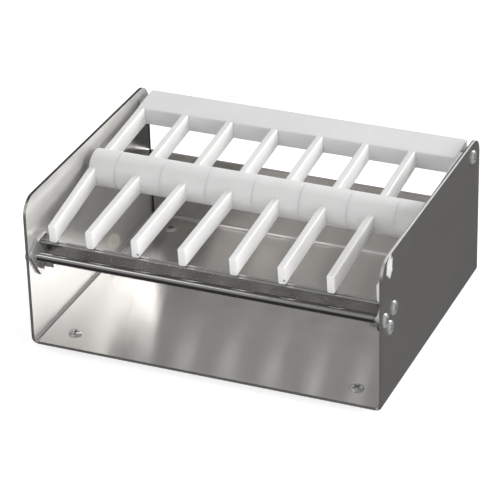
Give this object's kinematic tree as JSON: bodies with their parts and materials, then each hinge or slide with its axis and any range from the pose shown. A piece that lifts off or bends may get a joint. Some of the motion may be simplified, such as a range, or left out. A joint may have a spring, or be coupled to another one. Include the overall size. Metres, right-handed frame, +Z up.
{
  "type": "pill counting tray",
  "caption": "Open-fronted folded steel tray with a hinged plastic divider rack over it and a guide rod across the front.",
  "frame": {"origin": "middle of the tray's outline on the plane that its feet stand on", "axes": "+X to the right across the lanes, +Y to the rear wall, +Z up"},
  "size_m": [0.2428, 0.187, 0.108],
  "materials": {
    "shell_steel": "satin stainless sheet with fine handling scratches",
    "bracket_steel": "satin stainless plate",
    "bar_steel": "satin stainless strip",
    "rod_steel": "polished stainless rod",
    "screw_steel": "turned stainless heads",
    "nut_steel": "plain stainless nuts",
    "bush_steel": "turned stainless sleeves",
    "inner_steel": "plain stainless hardware inside the rack",
    "rack_plastic": "satin off-white moulded plastic",
    "bar_plastic": "satin off-white machined plastic bar",
    "foot_rubber": "matt black rubber"
  },
  "bodies": {
    "tray": {"tray_shell": "shell_steel", "bracket_left": "bracket_steel", "bracket_right": "bracket_steel", "front_bar": "bar_steel", "bar_screws": "screw_steel", "rod_screws": "screw_steel", "clamp_screws": "screw_steel", "pivot_screws": "screw_steel", "foot_screws": "screw_steel", "hex_nuts": "nut_steel", "foot_front_left": "foot_rubber", "foot_front_right": "foot_rubber", "foot_rear_left": "foot_rubber", "foot_rear_right": "foot_rubber"},
    "rack": {"divider_1": "rack_plastic", "divider_2": "rack_plastic", "divider_3": "rack_plastic", "divider_4": "rack_plastic", "divider_5": "rack_plastic", "divider_6": "rack_plastic", "divider_7": "rack_plastic", "divider_8": "rack_plastic", "rear_bar": "bar_plastic", "tie_rod": "inner_steel", "tie_washers": "inner_steel", "tie_nuts": "inner_steel", "divider_screws": "inner_steel", "dowel_pin": "inner_steel", "tail_screw": "screw_steel", "pivot_bushes": "bush_steel"},
    "rod": {"guide_rod": "rod_steel"}
  },
  "joints": [
    {"name": "rack_hinge", "type": "hinge", "parent": "tray", "child": "rack", "pos_m": [0, 0.0799, 0.09781], "axis": [-1, 0, 0], "range_deg": [0, 105]},
    {"name": "rod_spin", "type": "hinge", "parent": "tray", "child": "rod", "pos_m": [0, -0.0885, 0.0672], "axis": [1, 0, 0], "continuous": true}
  ]
}
